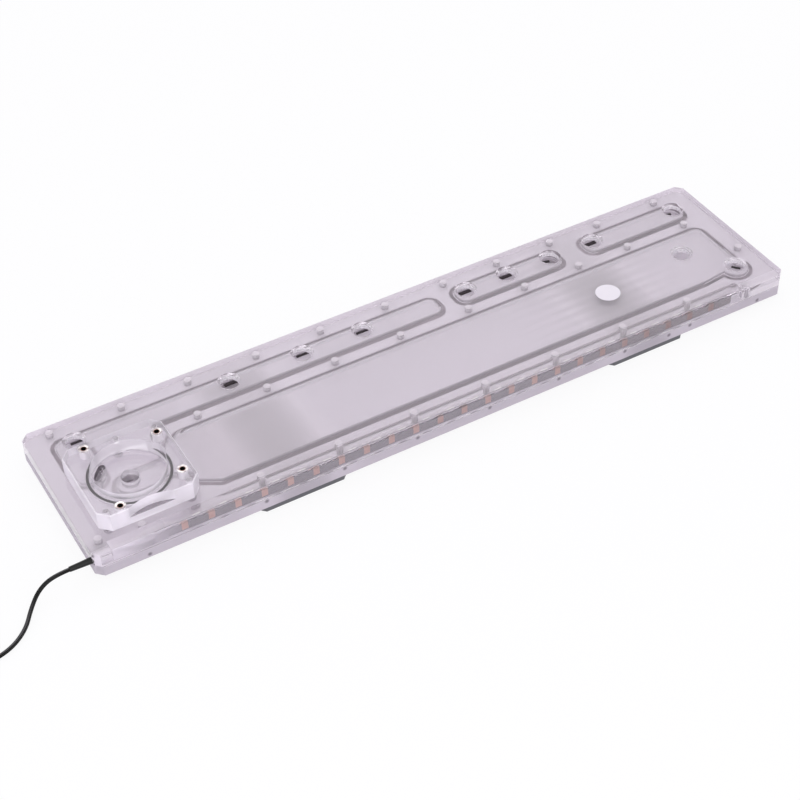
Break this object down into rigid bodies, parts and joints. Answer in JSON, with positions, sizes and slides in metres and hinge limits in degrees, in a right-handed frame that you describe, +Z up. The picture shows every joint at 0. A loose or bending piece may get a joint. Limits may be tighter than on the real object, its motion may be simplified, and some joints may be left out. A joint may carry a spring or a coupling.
{
  "type": "water cooling distribution plate",
  "caption": "Long clear acrylic plate with sealed water ways, threaded ports, a raised pump block, edge lighting with a lead, and dark brackets underneath.",
  "frame": {"origin": "under the middle of the plate, on the plane that the brackets stand on", "axes": "+X along the plate, away from the pump block; +Y across it, towards the row of ports; +Z up, out of the ports"},
  "size_m": [0.5915, 0.1385, 0.031],
  "materials": {
    "clear_acrylic": "clear, polished faces, fine milling marks in the water ways",
    "frosted_acrylic": "clear with a faint lavender haze, satin underside",
    "black_rubber": "matte black",
    "dark_steel": "dark zinc, satin",
    "nickel": "nickel plated, bright",
    "board_grey": "dark grey solder mask",
    "copper_pads": "tinned copper seen through acrylic",
    "light_white": "white housing with a clear dome",
    "lead_black": "black insulation, satin",
    "sleeve_black": "black shrink sleeve",
    "plug_black": "black moulded housing",
    "contact_tin": "tin plated",
    "bracket_dark": "dark grey anodised, satin",
    "label_white": "plain white film, bare"
  },
  "bodies": {
    "root": {"front_plate": "clear_acrylic", "pump_block": "clear_acrylic", "back_plate": "frosted_acrylic", "chamber_seal": "black_rubber", "channel_1_seal": "black_rubber", "channel_2_seal": "black_rubber", "channel_3_seal": "black_rubber", "pump_block_seal": "black_rubber", "assembly_screws": "dark_steel", "pump_block_screws": "dark_steel", "bracket_screws": "dark_steel", "pump_inserts": "nickel", "light_strip_board": "board_grey", "light_strip_pads": "copper_pads", "light_chips": "light_white", "light_wires": "lead_black", "lead_sleeve": "sleeve_black", "light_lead": "lead_black", "light_lead_coil": "lead_black", "light_lead_tail": "lead_black", "light_plug_housing": "plug_black", "light_plug_contacts": "contact_tin", "bracket_left": "bracket_dark", "bracket_right": "bracket_dark", "label": "label_white"}
  },
  "joints": []
}
